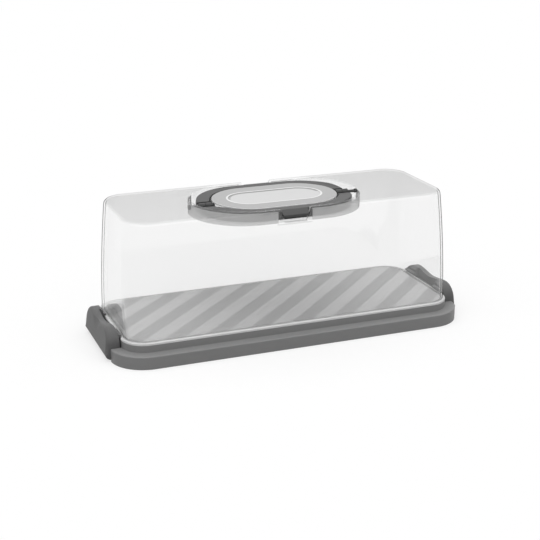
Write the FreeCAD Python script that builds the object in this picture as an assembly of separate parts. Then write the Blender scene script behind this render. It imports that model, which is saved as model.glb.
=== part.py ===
import FreeCAD, Part
import math
import os

# Cake container: a stepped tray, a clear cover held by two end latches, and a
# two-piece swing handle lying in a moat in the top of the cover.
# Millimetres, +Z up, +X along the length, front towards -Y, origin under the tray.

# Tray
tray_length = 360.0
tray_width = 149.0
tray_corner = 34.0
tray_wall = 2.0
skirt_height = 12.7
ledge_width = 10.5
shoulder_height = 19.5
deck_rise = 2.5
skirt_edge_round = 1.4
shoulder_edge_round = 0.5
deck_edge_round = 0.8

# Cover
cover_wall = 2.0
cover_rise = 114.5
cover_lean = 5.0
cover_mid_lean = 1.4
cover_top_corner = 24.0
cover_edge_round = 4.0
flange_thickness = 2.0
flange_reach = 2.3
flange_edge_round = 0.8
deck_clearance = 0.4

# Handle: pivot pins, two bails and the moat that holds them
handle_straight = 65.0
moat_margin = 4.7
moat_rim_round = 0.8
pin_radius = 1.5
pin_head_radius = 2.2
pin_head_length = 2.0
pin_head_headroom = 1.2
pin_end_gap = 0.5
hole_clearance = 0.1
bail_height = 7.6
bail_crown = 1.4
bail_band = 10.5
bail_end_band = 13.5
bail_end_gap = 6.0
bail_side_gap = 1.0
bail_floor_gap = 0.4
bail_edge_round = 1.4
barrel_radius = 3.0
barrel_gap = 0.4
barrel_bore_clearance = 0.2
web_height = 2.6
relief_reach = 9.5
relief_drop = 0.2
plateau_gap = 1.0
plateau_end_gap = 1.5
plateau_lift = 0.6

# Finger tabs and the notches that they lie in
notch_half_width = 11.5
notch_flare = 4.0
notch_sill_drop = 1.5
notch_block_margin = 6.0
tab_clearance = 0.7
tab_proud = 0.8
tab_slope_drop = 2.0
tab_tip_height = 2.4
tab_root_height = 5.0
tab_root = 3.0

# Cover plate on the plateau
plate_thickness = 1.6
plate_rim = 0.5
plate_edge_round = 0.6
inset_end_margin = 16.0
inset_side_margin = 18.1
inset_depth = 0.6
peg_radius = 2.5
peg_length = 1.8
peg_spacing = 60.0

# End latches
latch_corner_overlap = 1.5
latch_side_gap = 0.6
latch_proud = 5.0
latch_lean = 3.0
latch_heel = 7.0
latch_heel_gap = 0.5
latch_floor_gap = 1.5
latch_toe_round = 6.0
latch_rise = 8.5
latch_lip_depth = 10.0
latch_wall = 3.0
latch_rib = 2.5
latch_pockets = 3
latch_edge_round = 3.0
lobe_radius = 14.0
lobe_bevel = 3.0
lip_dip = 3.0
thumb_dish_radius = 55.0
thumb_dish_depth = 2.6
thumb_dish_height = 13.5
grip_half_width = 21.0
grip_depth = 11.5
hook_gap = 0.8
hook_bite = 1.3
hook_height = 2.6
trunnion_radius = 1.6
trunnion_clearance = 0.15
trunnion_end_gap = 0.3
latch_back_share = 0.86

overrun = 5.0
match_slack = 0.01

# Places worked out from the sizes above
upper_length = tray_length - 2 * ledge_width
upper_width = tray_width - 2 * ledge_width
upper_corner = tray_corner - ledge_width
foot_length = upper_length - 2 * flange_reach
foot_width = upper_width - 2 * flange_reach
foot_corner = upper_corner - flange_reach
cover_top = shoulder_height + cover_rise
cover_top_length = foot_length - 2 * cover_lean
cover_top_width = foot_width - 2 * cover_lean
cover_mid_length = foot_length - 2 * cover_mid_lean
cover_mid_width = foot_width - 2 * cover_mid_lean
cover_mid_corner = (foot_corner + cover_top_corner) / 2
cover_mid_height = shoulder_height + cover_rise / 2
flange_top = shoulder_height + flange_thickness
deck_top = shoulder_height + deck_rise
deck_inset = cover_wall + deck_clearance

moat_side = cover_top_width / 2 - moat_margin
moat_end = moat_side + handle_straight / 2
bail_end = moat_end - bail_end_gap
bail_side = moat_side - bail_side_gap
bail_inner_end = bail_end - bail_end_band
bail_inner_side = bail_side - bail_band
plateau_end = bail_inner_end - plateau_end_gap
plateau_side = bail_inner_side - plateau_gap
pivot_z = cover_top - cover_wall - pin_head_headroom - pin_head_radius
bail_top = pivot_z + bail_crown
bail_bottom = bail_top - bail_height
moat_floor = bail_bottom - bail_floor_gap
plateau_top = bail_top + plateau_lift
notch_sill = moat_floor - notch_sill_drop
tab_tip = cover_top_width / 2 + tab_proud

latch_half_width = tray_width / 2 - tray_corner + latch_corner_overlap
pocket_half_width = latch_half_width + latch_side_gap
cheek_outer = pocket_half_width + tray_wall
latch_axis_x = upper_length / 2 + latch_heel_gap + latch_heel
latch_axis_z = latch_floor_gap + latch_heel
latch_face = tray_length / 2 + latch_proud
latch_back = latch_axis_x - latch_heel * latch_back_share
latch_lip_back = latch_face - latch_lip_depth
latch_toe_z = latch_floor_gap + latch_toe_round
latch_top = flange_top + latch_rise
lip_low = latch_top - lip_dip
grip_floor = latch_top - grip_depth
hook_tip = upper_length / 2 - hook_bite
hook_under = flange_top + hook_gap


def vector(x, y, z):
    return FreeCAD.Vector(x, y, z)


def round_rect_wire(length, width, corner, z):
    arcs = []
    for turn, (side_x, side_y) in enumerate([(1, 1), (-1, 1), (-1, -1), (1, -1)]):
        centre = vector(side_x * (length / 2 - corner), side_y * (width / 2 - corner), z)
        circle = Part.Circle(centre, vector(0, 0, 1), corner)
        start = turn * math.pi / 2
        arcs.append(Part.ArcOfCircle(circle, start, start + math.pi / 2).toShape())
    edges = []
    for arc, following in zip(arcs, arcs[1:] + arcs[:1]):
        end = arc.valueAt(arc.LastParameter)
        edges.extend([arc, Part.makeLine(end, following.valueAt(following.FirstParameter))])
    return Part.Wire(edges)


def round_rect_block(length, width, corner, bottom, top):
    face = Part.Face(round_rect_wire(length, width, corner, bottom))
    return face.extrude(vector(0, 0, top - bottom))


def stadium_wire(half_length, half_width, z):
    straight = half_length - half_width
    edges = []
    for side in (1, -1):
        low = vector(side * straight, -side * half_width, z)
        tip = vector(side * half_length, 0, z)
        high = vector(side * straight, side * half_width, z)
        across = vector(-side * straight, side * half_width, z)
        edges.extend([Part.Arc(low, tip, high).toShape(), Part.makeLine(high, across)])
    return Part.Wire(edges)


def stadium_block(half_length, half_width, bottom, top):
    face = Part.Face(stadium_wire(half_length, half_width, bottom))
    return face.extrude(vector(0, 0, top - bottom))


def span_box(low, high):
    size = [b - a for a, b in zip(low, high)]
    return Part.makeBox(size[0], size[1], size[2], vector(*low))


def rod_along_x(radius, start, end, y, z):
    return Part.makeCylinder(radius, end - start, vector(start, y, z), vector(1, 0, 0))


def rod_along_y(radius, start, end, x, z):
    return Part.makeCylinder(radius, end - start, vector(x, start, z), vector(0, 1, 0))


def edges_at(shape, height):
    level = []
    for edge in shape.Edges:
        box = edge.BoundBox
        if abs(box.ZMin - height) < match_slack and abs(box.ZMax - height) < match_slack:
            level.append(edge)
    return level


def rounded_at(shape, height, radius):
    return shape.makeFillet(radius, edges_at(shape, height))


def half_turned(shape):
    copy = shape.copy()
    copy.rotate(vector(0, 0, 0), vector(0, 0, 1), 180)
    return copy


def tray_body():
    skirt = round_rect_block(tray_length, tray_width, tray_corner, 0, skirt_height)
    skirt = rounded_at(skirt, skirt_height, skirt_edge_round)
    upper = round_rect_block(upper_length, upper_width, upper_corner, 0, shoulder_height)
    upper = rounded_at(upper, shoulder_height, shoulder_edge_round)
    deck = round_rect_block(
        foot_length - 2 * deck_inset,
        foot_width - 2 * deck_inset,
        foot_corner - deck_inset,
        0,
        deck_top,
    )
    deck = rounded_at(deck, deck_top, deck_edge_round)
    return skirt.fuse([upper, deck])


def tray_hollow():
    steps = [
        (tray_length, tray_width, tray_corner, skirt_height),
        (upper_length, upper_width, upper_corner, shoulder_height),
        (foot_length - 2 * deck_inset, foot_width - 2 * deck_inset, foot_corner - deck_inset, deck_top),
    ]
    blocks = []
    for length, width, corner, top in steps:
        blocks.append(
            round_rect_block(
                length - 2 * tray_wall,
                width - 2 * tray_wall,
                corner - tray_wall,
                -overrun,
                top - tray_wall,
            )
        )
    return blocks[0].fuse(blocks[1:])


def latch_pocket(grow, bottom, top):
    start = upper_length / 2 - grow
    reach = pocket_half_width + grow
    return span_box((start, -reach, bottom), (tray_length / 2 + overrun, reach, top))


def make_tray():
    body = tray_body()
    shell = body.cut(tray_hollow())
    lining = latch_pocket(tray_wall, 0, skirt_height).common(body)
    pocket = latch_pocket(0, -overrun, shoulder_height)
    bore = rod_along_y(
        trunnion_radius + trunnion_clearance,
        -cheek_outer - overrun,
        cheek_outer + overrun,
        latch_axis_x,
        latch_axis_z,
    )
    shell = shell.fuse([lining, half_turned(lining)])
    for cut in (pocket, bore):
        shell = shell.cut([cut, half_turned(cut)])
    return shell.removeSplitter()


def cover_block(inset, top):
    # The walls bulge: they lean in little up to half height and more above it.
    sections = [
        (foot_length, foot_width, foot_corner, shoulder_height),
        (cover_mid_length, cover_mid_width, cover_mid_corner, cover_mid_height),
        (cover_top_length, cover_top_width, cover_top_corner, cover_top),
    ]
    wires = [
        round_rect_wire(length - 2 * inset, width - 2 * inset, corner - inset, z)
        for length, width, corner, z in sections
    ]
    return Part.makeLoft(wires, True, False).common(level_slab(shoulder_height, top))


def level_slab(bottom, top):
    return span_box((-tray_length, -tray_width, bottom), (tray_length, tray_width, top))


def notch_prism(inset):
    # Cross-section of a finger notch, wider towards the top, cut from front to back.
    lift = cover_top + overrun
    slope = notch_flare / (cover_top - notch_sill)
    foot = notch_half_width - inset
    head = foot + slope * (lift - notch_sill)
    corners = [(-foot, notch_sill), (foot, notch_sill), (head, lift), (-head, lift)]
    rim = [vector(x, -foot_width, z) for x, z in corners]
    face = Part.Face(Part.makePolygon(rim + rim[:1]))
    return face.extrude(vector(0, 2 * foot_width, 0))


def moat_block(outer):
    wall_end = moat_end + cover_wall
    wall_side = moat_side + cover_wall
    under = moat_floor - cover_wall
    drum = stadium_block(wall_end, wall_side, under, cover_top)
    reach = notch_half_width + notch_block_margin
    sill_under = notch_sill - cover_wall
    bridge = span_box((-reach, -foot_width, sill_under), (reach, foot_width, cover_top))
    bridge = bridge.cut(stadium_block(moat_end, moat_side, sill_under - overrun, moat_floor))
    return drum.fuse(bridge).common(outer)


def moat_void():
    well = stadium_block(moat_end, moat_side, moat_floor, cover_top)
    rim_foot = stadium_wire(moat_end, moat_side, cover_top - moat_rim_round)
    rim_head = stadium_wire(moat_end + moat_rim_round, moat_side + moat_rim_round, cover_top)
    well = well.fuse(Part.makeLoft([rim_foot, rim_head], True, True))
    island = stadium_block(plateau_end, plateau_side, moat_floor - overrun, plateau_top)
    return well.cut(island)


def plateau_hollow():
    return stadium_block(
        plateau_end - cover_wall,
        plateau_side - cover_wall,
        moat_floor - cover_wall - overrun,
        plateau_top - cover_wall,
    )


def peg_places():
    return [vector(side * peg_spacing / 2, 0, plateau_top) for side in (-1, 1)]


def make_cover():
    outer = cover_block(0, cover_top)
    outer = rounded_at(outer, cover_top, cover_edge_round)
    inner = cover_block(cover_wall, cover_top - cover_wall)
    inner = rounded_at(inner, cover_top - cover_wall, cover_edge_round - cover_wall)
    flange = round_rect_block(upper_length, upper_width, upper_corner, shoulder_height, flange_top)
    flange = rounded_at(flange, flange_top, flange_edge_round)
    shell = outer.fuse(flange).cut(inner)
    shell = shell.fuse(moat_block(outer)).cut(moat_void()).cut(plateau_hollow())
    outside = span_box((-tray_length, -foot_width, 0), (tray_length, -moat_side, cover_top + overrun))
    notch = notch_prism(0).common(outside)
    shell = shell.cut([notch, half_turned(notch)])
    bore = rod_along_x(
        pin_radius + hole_clearance,
        plateau_end - cover_wall - overrun,
        moat_end + cover_wall + overrun,
        0,
        pivot_z,
    )
    holes = [bore, half_turned(bore)]
    for place in peg_places():
        down = vector(0, 0, -1)
        holes.append(Part.makeCylinder(peg_radius + hole_clearance, cover_wall + overrun, place, down))
    return shell.cut(holes).removeSplitter()


def bail_band_half():
    ring = stadium_block(bail_end, bail_side, bail_bottom, bail_top)
    ring = rounded_at(ring, bail_top, bail_edge_round)
    ring = ring.cut(
        stadium_block(bail_inner_end, bail_inner_side, bail_bottom - overrun, bail_top + overrun)
    )
    arm_end = barrel_radius + barrel_gap
    front = span_box((-moat_end, -tab_tip, bail_bottom), (moat_end, -arm_end, bail_top))
    relief = span_box(
        (-moat_end, -relief_reach, pivot_z - relief_drop),
        (moat_end, 0, bail_top + overrun),
    )
    return ring.common(front).cut(relief)


def finger_tab():
    root = -bail_side + tab_root
    corners = [
        (root, bail_top),
        (-bail_side, bail_top),
        (-tab_tip, bail_top - tab_slope_drop),
        (-tab_tip, bail_top - tab_slope_drop - tab_tip_height),
        (root, bail_top - tab_root_height),
    ]
    rim = [vector(-bail_end, y, z) for y, z in corners]
    section = Part.Face(Part.makePolygon(rim + rim[:1]))
    return section.extrude(vector(2 * bail_end, 0, 0)).common(notch_prism(tab_clearance))


def knuckle(start, end):
    arm_end = barrel_radius + barrel_gap
    barrel = rod_along_x(barrel_radius, start, end, 0, pivot_z)
    web = span_box(
        (start, -arm_end - barrel_gap, pivot_z - relief_drop - web_height),
        (end, 0, pivot_z - relief_drop),
    )
    return barrel.fuse(web)


def make_front_bail():
    # One knuckle sits at the outer half of its end, the other at the inner half,
    # so the same part turned half round meets it on the same pins.
    middle = (bail_end + bail_inner_end) / 2
    outer_knuckle = knuckle(middle + barrel_gap / 2, bail_end - barrel_gap)
    inner_knuckle = knuckle(-middle + barrel_gap / 2, -bail_inner_end - barrel_gap)
    bail = bail_band_half().fuse([finger_tab(), outer_knuckle, inner_knuckle])
    bore = rod_along_x(pin_radius + barrel_bore_clearance, -moat_end, moat_end, 0, pivot_z)
    return bail.cut(bore).removeSplitter()


def make_pin():
    head_start = moat_end + cover_wall
    shaft_start = plateau_end - cover_wall + pin_end_gap
    shaft = rod_along_x(pin_radius, shaft_start, head_start, 0, pivot_z)
    head = rod_along_x(pin_head_radius, head_start, head_start + pin_head_length, 0, pivot_z)
    return shaft.fuse(head).removeSplitter()


def make_top_plate():
    plate_end = plateau_end - plate_rim
    plate_side = plateau_side - plate_rim
    plate_top = plateau_top + plate_thickness
    plate = stadium_block(plate_end, plate_side, plateau_top, plate_top)
    plate = rounded_at(plate, plate_top, plate_edge_round)
    inset = stadium_block(
        plate_end - inset_end_margin,
        plate_side - inset_side_margin,
        plate_top - inset_depth,
        plate_top + overrun,
    )
    plate = plate.cut(inset)
    pegs = []
    for place in peg_places():
        pegs.append(Part.makeCylinder(peg_radius, peg_length, place, vector(0, 0, -1)))
    return plate.fuse(pegs).removeSplitter()


def latch_outline():
    # Front view of a latch: square foot, a round lobe at each end and a slight dip between them.
    lobe_y = latch_half_width - lobe_radius
    lobe_z = latch_top - lobe_radius
    drop = lip_low - lobe_z
    dip_radius = (lobe_y ** 2 + drop ** 2 - lobe_radius ** 2) / (2 * lip_dip)
    dip_z = lip_low + dip_radius
    meet_share = lobe_radius / (lobe_radius + dip_radius)
    meet_y = lobe_y * (1 - meet_share)
    meet_z = lobe_z + (dip_z - lobe_z) * meet_share
    slant = lobe_radius * math.sqrt(0.5)

    def at(y, z):
        return vector(hook_tip - overrun, y, z)

    def lobe(side):
        outer = at(side * latch_half_width, lobe_z)
        middle = at(side * (lobe_y + slant), lobe_z + slant)
        return Part.Arc(outer, middle, at(side * meet_y, meet_z)).toShape()

    dip = Part.Arc(at(meet_y, meet_z), at(0, lip_low), at(-meet_y, meet_z)).toShape()
    foot = [
        at(-latch_half_width, lobe_z),
        at(-latch_half_width, 0),
        at(latch_half_width, 0),
        at(latch_half_width, lobe_z),
    ]
    return Part.Face(Part.Wire([lobe(1), dip, lobe(-1)] + Part.makePolygon(foot).Edges))


def latch_outline_block():
    reach = latch_face + overrun - (hook_tip - overrun)
    return latch_outline().extrude(vector(reach, 0, 0))


def thumb_dish():
    # Tilted cylinder that meets the leaning outer face at its low end and sinks in towards the lip.
    low = latch_top - thumb_dish_height
    lean_slope = latch_lean / (latch_top - latch_toe_z)
    low_x = latch_face - lean_slope * (low - latch_toe_z)
    high_x = latch_face - latch_lean - thumb_dish_depth
    along = vector(high_x - low_x, 0, thumb_dish_height)
    along.normalize()
    side = vector(along.z, 0, -along.x)
    start = vector(low_x, 0, low) + side * thumb_dish_radius - along * thumb_dish_radius
    return Part.makeCylinder(thumb_dish_radius, 3 * thumb_dish_radius, start, along)


def latch_section_block():
    # Side view of a latch: leaning outer face, rounded toe, round heel and the hook.
    toe_x = latch_face - latch_toe_round
    toe_slant = latch_toe_round * math.sqrt(0.5)
    heel_turn = math.asin(latch_back_share)

    def at(x, z):
        return vector(x, -latch_half_width, z)

    def on_heel(turn):
        return at(latch_axis_x - latch_heel * math.sin(turn), latch_axis_z - latch_heel * math.cos(turn))

    heel = Part.Arc(on_heel(heel_turn), on_heel(heel_turn / 2), on_heel(0)).toShape()
    sole = Part.makeLine(on_heel(0), at(toe_x, latch_floor_gap))
    toe_middle = at(toe_x + toe_slant, latch_toe_z - toe_slant)
    toe = Part.Arc(at(toe_x, latch_floor_gap), toe_middle, at(latch_face, latch_toe_z)).toShape()
    upper = [
        at(latch_face, latch_toe_z),
        at(latch_face - latch_lean, latch_top),
        at(latch_back + lobe_bevel, latch_top),
        at(latch_back, latch_top - lobe_bevel),
        at(latch_back, hook_under + hook_height),
        at(hook_tip, hook_under + hook_height / 2),
        at(hook_tip, hook_under),
        at(latch_back, hook_under),
        on_heel(heel_turn),
    ]
    face = Part.Face(Part.Wire([heel, sole, toe] + Part.makePolygon(upper).Edges))
    return face.extrude(vector(0, 2 * latch_half_width, 0))


def outer_face_edges(latch):
    # Edges round the leaning outer face, without the one that it shares with the toe.
    lean_slope = latch_lean / (latch_top - latch_toe_z)
    chosen = []
    for edge in latch.Edges:
        spots = edge.discretize(5)
        on_face = all(
            abs(latch_face - lean_slope * (spot.z - latch_toe_z) - spot.x) < match_slack for spot in spots
        )
        if on_face and edge.BoundBox.ZMax > latch_toe_z + match_slack:
            chosen.append(edge)
    return chosen


def latch_recesses():
    # Moulding pockets behind the outer wall, and the finger room behind the lip.
    pocket_span = 2 * (latch_half_width - latch_wall) - (latch_pockets - 1) * latch_rib
    pocket_width = pocket_span / latch_pockets
    ceiling = grip_floor - latch_wall
    recesses = []
    for index in range(latch_pockets):
        start = -latch_half_width + latch_wall + index * (pocket_width + latch_rib)
        low = (latch_back - overrun, start, latch_axis_z)
        high = (latch_lip_back, start + pocket_width, ceiling)
        recesses.append(span_box(low, high))
    low = (hook_tip - overrun, -grip_half_width, grip_floor)
    high = (latch_lip_back, grip_half_width, latch_top + overrun)
    recesses.append(span_box(low, high))
    return recesses


def make_right_latch():
    latch = latch_outline_block().common(latch_section_block()).removeSplitter()
    latch = latch.makeFillet(latch_edge_round, outer_face_edges(latch))
    latch = latch.cut(latch_recesses() + [thumb_dish()])
    stub_start = latch_half_width - latch_wall
    stub_end = cheek_outer - trunnion_end_gap
    stubs = []
    for start, end in ((stub_start, stub_end), (-stub_end, -stub_start)):
        stubs.append(rod_along_y(trunnion_radius, start, end, latch_axis_x, latch_axis_z))
    return latch.fuse(stubs).removeSplitter()


def build_nodes():
    bail = make_front_bail()
    pin = make_pin()
    latch = make_right_latch()
    return {
        "tray": make_tray(),
        "cover": make_cover(),
        "handle_front": bail,
        "handle_rear": half_turned(bail),
        "handle_pin_right": pin,
        "handle_pin_left": half_turned(pin),
        "top_plate": make_top_plate(),
        "latch_right": latch,
        "latch_left": half_turned(latch),
    }


os.makedirs("parts", exist_ok=True)
for name, shape in build_nodes().items():
    solids = shape.Solids
    print(name, "solids", len(solids), "valid", shape.isValid(), "volume", round(shape.Volume, 1))
    solids[0].exportStep("parts/" + name + ".step")
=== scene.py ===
import bpy
import bmesh
import math
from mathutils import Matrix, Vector


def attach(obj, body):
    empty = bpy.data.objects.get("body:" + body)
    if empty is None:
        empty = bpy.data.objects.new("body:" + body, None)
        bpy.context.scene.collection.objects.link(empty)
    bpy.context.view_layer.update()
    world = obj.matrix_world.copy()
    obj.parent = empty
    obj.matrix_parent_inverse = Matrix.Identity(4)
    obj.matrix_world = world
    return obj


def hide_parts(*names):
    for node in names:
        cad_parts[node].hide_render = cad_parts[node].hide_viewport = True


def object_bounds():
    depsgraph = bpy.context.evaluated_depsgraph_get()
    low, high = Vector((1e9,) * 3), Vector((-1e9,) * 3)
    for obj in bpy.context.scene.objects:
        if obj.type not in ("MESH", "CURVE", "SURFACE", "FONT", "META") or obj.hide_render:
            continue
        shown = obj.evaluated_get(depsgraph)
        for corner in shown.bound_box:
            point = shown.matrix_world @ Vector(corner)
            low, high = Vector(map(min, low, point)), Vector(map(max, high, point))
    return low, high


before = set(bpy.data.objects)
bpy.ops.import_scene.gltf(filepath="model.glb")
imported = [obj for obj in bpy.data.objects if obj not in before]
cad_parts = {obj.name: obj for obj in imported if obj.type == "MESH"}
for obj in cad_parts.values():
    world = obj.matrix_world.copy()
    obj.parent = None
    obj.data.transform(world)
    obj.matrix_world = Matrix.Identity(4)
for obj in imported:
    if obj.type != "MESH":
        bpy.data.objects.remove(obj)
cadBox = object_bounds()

mm = 0.001
levelSlack = 0.02  # heights this close count as one, in millimetres
cutPast = 3.0  # how far a cutter stands past the face that it opens


def deselectAll():
    active = bpy.context.view_layer.objects.active
    if active and active.mode != "OBJECT":
        bpy.ops.object.mode_set(mode="OBJECT")
    bpy.ops.object.select_all(action="DESELECT")


deselectAll()
print("frame loaded:", len(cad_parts), "nodes")


# Modelling helpers, all lengths in millimetres
def place(vert):
    return vert.co / mm


def pick(kind, test):
    bpy.ops.mesh.select_mode(type={"verts": "VERT", "edges": "EDGE", "faces": "FACE"}[kind])
    bpy.ops.mesh.select_all(action="DESELECT")
    shape = bmesh.from_edit_mesh(bpy.context.object.data)
    for part in getattr(shape, kind):
        if test(part):
            part.select_set(True)
    shape.select_flush_mode()
    bmesh.update_edit_mesh(bpy.context.object.data)


def levelEdges(height, test=None):
    def level(edge):
        spots = [place(vert) for vert in edge.verts]
        flat = all(abs(spot.z - height) < levelSlack for spot in spots)
        return flat and (test is None or all(test(spot) for spot in spots))
    pick("edges", level)


def topFaces(height):
    def level(face):
        return face.normal.z > 0.9 and all(abs(place(vert).z - height) < levelSlack for vert in face.verts)
    pick("faces", level)


def roundSelected(width, segments):
    bpy.ops.mesh.bevel(offset=width * mm, offset_type="OFFSET", segments=segments, affect="EDGES",
                       profile=0.5)


def raiseSelected(height):
    bpy.ops.mesh.extrude_region_move(TRANSFORM_OT_translate={"value": (0, 0, height * mm)})


def moveSelected(x, y, z):
    bpy.ops.transform.translate(value=(x * mm, y * mm, z * mm))


def sliceOff(point, normal, keep=False):
    bpy.ops.mesh.select_all(action="SELECT")
    bpy.ops.mesh.bisect(plane_co=Vector(point) * mm, plane_no=normal,
                        use_fill=not keep, clear_outer=not keep)


def shapePlate(length, width, corner, height, segments):
    bpy.ops.transform.resize(value=(length, width, 1.0))
    moveSelected(0, 0, height)
    bpy.ops.mesh.bevel(offset=corner * mm, offset_type="OFFSET", segments=segments, affect="VERTICES")


def startPlate(name, length, width, corner, height, segments):
    deselectAll()
    bpy.ops.mesh.primitive_plane_add(size=mm, location=(0, 0, 0))
    piece = bpy.context.object
    piece.name = name
    bpy.ops.object.mode_set(mode="EDIT")
    shapePlate(length, width, corner, height, segments)
    bpy.ops.mesh.select_all(action="SELECT")
    bpy.ops.mesh.remove_doubles(threshold=0.05 * mm)
    return piece


def startSlab(name, length, width, corner, bottom, top, segments):
    piece = startPlate(name, length, width, corner, bottom, segments)
    raiseSelected(top - bottom)
    closeShape()
    return piece


def startStadium(name, halfLength, halfWidth, bottom, top, segments=24):
    corner = halfWidth - 0.01  # a hair short, so that the end verts stay apart
    return startSlab(name, 2 * halfLength, 2 * halfWidth, corner, bottom, top, segments)


wellMouth = {"steps": ((0.6, 0.25), (0.4, 0.75)), "above": 8.0}  # shares of the flare: up, out


def startWell(name, halfLength, halfWidth, bottom, rim, flare, segments=24):
    # Stadium cutter whose mouth opens in two short steps, so that it leaves a rounded rim
    well = startStadium(name, halfLength, halfWidth, bottom, rim - flare, segments)
    grown = 0.0
    for rise, grow in wellMouth["steps"]:
        topFaces(max(place(v).z for v in bmesh.from_edit_mesh(well.data).verts))
        raiseSelected(flare * rise)
        ratio = [(half + grown + flare * grow) / (half + grown) for half in (halfLength, halfWidth)]
        bpy.ops.transform.resize(value=(*ratio, 1))
        grown += flare * grow
    raiseSelected(wellMouth["above"])
    closeShape()
    return well


def startTaper(name, sections, segments):
    # Stacked rounded plates, bridged into one block
    piece = startPlate(name, *sections[0], segments)
    for section in sections[1:]:
        bpy.ops.mesh.select_all(action="DESELECT")
        bpy.ops.mesh.primitive_plane_add(size=mm, location=(0, 0, 0))
        shapePlate(*section, segments)
    bpy.ops.mesh.select_all(action="SELECT")
    bpy.ops.mesh.delete(type="ONLY_FACE")
    bpy.ops.mesh.select_mode(type="EDGE")
    bpy.ops.mesh.select_all(action="SELECT")
    bpy.ops.mesh.bridge_edge_loops()
    for height in (sections[0][3], sections[-1][3]):
        levelEdges(height)
        bpy.ops.mesh.edge_face_add()
    closeShape()
    return piece


def startBox(name, low, high):
    deselectAll()
    bpy.ops.mesh.primitive_cube_add(size=mm, location=(0, 0, 0))
    piece = bpy.context.object
    piece.name = name
    bpy.ops.object.mode_set(mode="EDIT")
    bpy.ops.transform.resize(value=[b - a for a, b in zip(low, high)])
    moveSelected(*[(a + b) / 2 for a, b in zip(low, high)])
    return piece


def startRod(name, radius, start, end, segments=32):
    # Rod from one point to another, made along Z and turned to its line
    deselectAll()
    line = Vector(end) - Vector(start)
    turn = line.to_track_quat("Z", "Y").to_euler()
    middle = (Vector(start) + Vector(end)) / 2 * mm
    bpy.ops.mesh.primitive_cylinder_add(vertices=segments, radius=radius * mm, depth=line.length * mm,
                                        location=middle, rotation=turn)
    piece = bpy.context.object
    piece.name = name
    bpy.ops.object.transform_apply(location=True, rotation=True, scale=True)
    return piece


def closeShape():
    bpy.ops.mesh.select_all(action="SELECT")
    bpy.ops.mesh.normals_make_consistent(inside=False)


def joinShape(piece, other, operation):
    deselectAll()
    bpy.context.view_layer.objects.active = piece
    step = piece.modifiers.new("cut", "BOOLEAN")
    step.operation = operation
    step.object = other
    step.solver = "MANIFOLD"
    bpy.ops.object.modifier_apply(modifier=step.name)
    bpy.data.objects.remove(other, do_unlink=True)


def carve(piece, *cutters):
    for cutter in cutters:
        joinShape(piece, cutter, "DIFFERENCE")


def weld(piece, *others):
    for other in others:
        joinShape(piece, other, "UNION")


def openEdit(piece):
    deselectAll()
    bpy.context.view_layer.objects.active = piece
    piece.select_set(True)
    bpy.ops.object.mode_set(mode="EDIT")


def applyStep(piece, name, kind, **settings):
    step = piece.modifiers.new(name, kind)
    for key, value in settings.items():
        setattr(step, key, value)
    bpy.context.view_layer.objects.active = piece
    bpy.ops.object.modifier_apply(modifier=step.name)


def softenPiece(piece, width, angle=40.0, shadeAngle=35.0):
    # Small rounds on the edges that are still sharp, then even shading
    openEdit(piece)
    bpy.ops.mesh.select_all(action="SELECT")
    bpy.ops.mesh.remove_doubles(threshold=0.005 * mm)
    deselectAll()
    piece.select_set(True)
    if width:
        applyStep(piece, "edges", "BEVEL", width=width * mm, segments=2, limit_method="ANGLE",
                  angle_limit=math.radians(angle), use_clamp_overlap=True)
        openEdit(piece)
        bpy.ops.mesh.select_all(action="SELECT")
        bpy.ops.mesh.dissolve_degenerate(threshold=0.002 * mm)
        deselectAll()
        piece.select_set(True)
    bpy.ops.object.shade_smooth_by_angle(angle=math.radians(shadeAngle))
    applyStep(piece, "shading", "WEIGHTED_NORMAL", keep_sharp=True, weight=80)


def turnedCopy(piece, name):
    # The same piece half turned about the upright axis, with its own mesh
    copy = piece.copy()
    copy.data = piece.data.copy()
    copy.name = name
    bpy.context.scene.collection.objects.link(copy)
    deselectAll()
    copy.select_set(True)
    bpy.context.view_layer.objects.active = copy
    copy.rotation_euler.z = math.pi
    bpy.ops.object.transform_apply(location=True, rotation=True, scale=True)
    return copy


def dressPiece(piece, body, node, material):
    piece.data.materials.clear()
    piece.data.materials.append(material)
    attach(piece, body)
    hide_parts(node)


# Node helpers for the materials
def newMaterial(name):
    material = bpy.data.materials.new(name)
    material.use_nodes = True
    material.node_tree.nodes.clear()
    return material, material.node_tree.nodes, material.node_tree.links


def addNode(nodes, kind, values=None, **settings):
    node = nodes.new(kind)
    for key, value in settings.items():
        setattr(node, key, value)
    for key, value in (values or {}).items():
        node.inputs[key].default_value = value
    return node


def grey(level):
    return (level, level, level, 1.0)


# Tray: skirt, ledge, shoulder and deck drawn up from one plate, hollowed by a smaller copy of the same steps
traySize = {"length": 360.0, "width": 149.0, "corner": 34.0, "wall": 2.0, "skirt": 12.7, "ledge": 10.5,
            "shoulder": 19.5, "deckInset": 4.7, "deck": 22.0, "skirtRound": 1.4, "shoulderRound": 0.5,
            "deckRound": 0.8, "segments": 16, "pocketStart": 169.42, "pocketHalf": 42.6,
            "trunnionX": 177.0, "trunnionZ": 8.5, "trunnionHole": 1.75, "edge": 0.25,
            "hollowFoot": -4.0, "liningFoot": -6.0, "pocketFoot": -3.0, "cutTop": 30.0, "endPast": 6.0,
            "cornerSlack": 1.0}


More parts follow.
